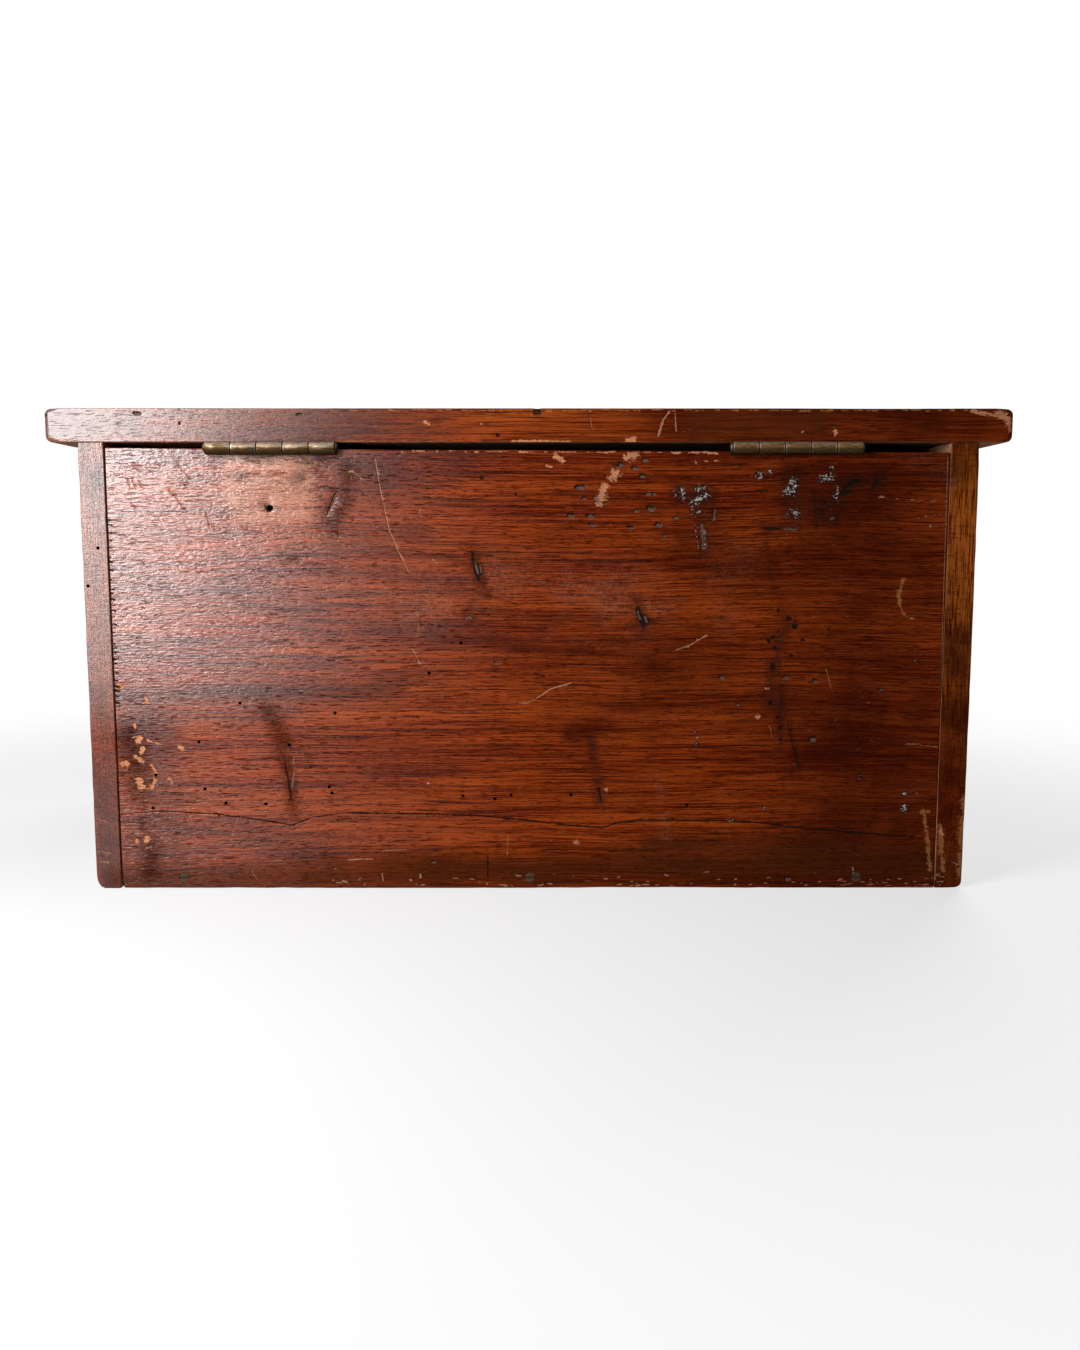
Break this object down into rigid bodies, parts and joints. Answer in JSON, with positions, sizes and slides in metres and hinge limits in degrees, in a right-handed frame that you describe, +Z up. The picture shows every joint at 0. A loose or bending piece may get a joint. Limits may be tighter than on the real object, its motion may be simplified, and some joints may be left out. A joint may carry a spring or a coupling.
{
  "type": "wooden storage chest",
  "caption": "Rectangular wooden storage chest with a flat overhanging lid that swings back on butt hinges, for keeping linen and household things.",
  "frame": {"origin": "middle of the case's footprint, on the surface that the chest stands on", "axes": "+X along the length, towards the right of someone facing the front; +Y towards the back, where the hinges are; +Z up"},
  "size_m": [0.4636, 0.2754, 0.235],
  "materials": {
    "mahogany": "old varnish, worn",
    "bottom_wood": "bare",
    "hinge_brass": "aged, dull",
    "fastener_iron": "dark, slightly rusted"
  },
  "bodies": {
    "case": {"left_side_board": "mahogany", "right_side_board": "mahogany", "back_board": "mahogany", "front_board": "mahogany", "bottom_board": "bottom_wood", "back_bottom_screws": "fastener_iron", "front_bottom_screws": "fastener_iron", "left_bottom_screws": "fastener_iron", "right_bottom_screws": "fastener_iron", "back_left_corner_nails": "fastener_iron", "back_right_corner_nails": "fastener_iron", "front_left_corner_nails": "fastener_iron", "front_right_corner_nails": "fastener_iron", "left_hinge_case_leaf": "hinge_brass", "left_hinge_pin": "hinge_brass", "left_hinge_case_screws": "hinge_brass", "right_hinge_case_leaf": "hinge_brass", "right_hinge_pin": "hinge_brass", "right_hinge_case_screws": "hinge_brass"},
    "lid": {"lid_board": "mahogany", "left_hinge_lid_leaf": "hinge_brass", "left_hinge_lid_screws": "hinge_brass", "right_hinge_lid_leaf": "hinge_brass", "right_hinge_lid_screws": "hinge_brass"}
  },
  "joints": [
    {"name": "lid_hinge", "type": "hinge", "parent": "case", "child": "lid", "pos_m": [0, 0.1295, 0.21605], "axis": [-1, 0, 0], "range_deg": [0, 180]}
  ]
}
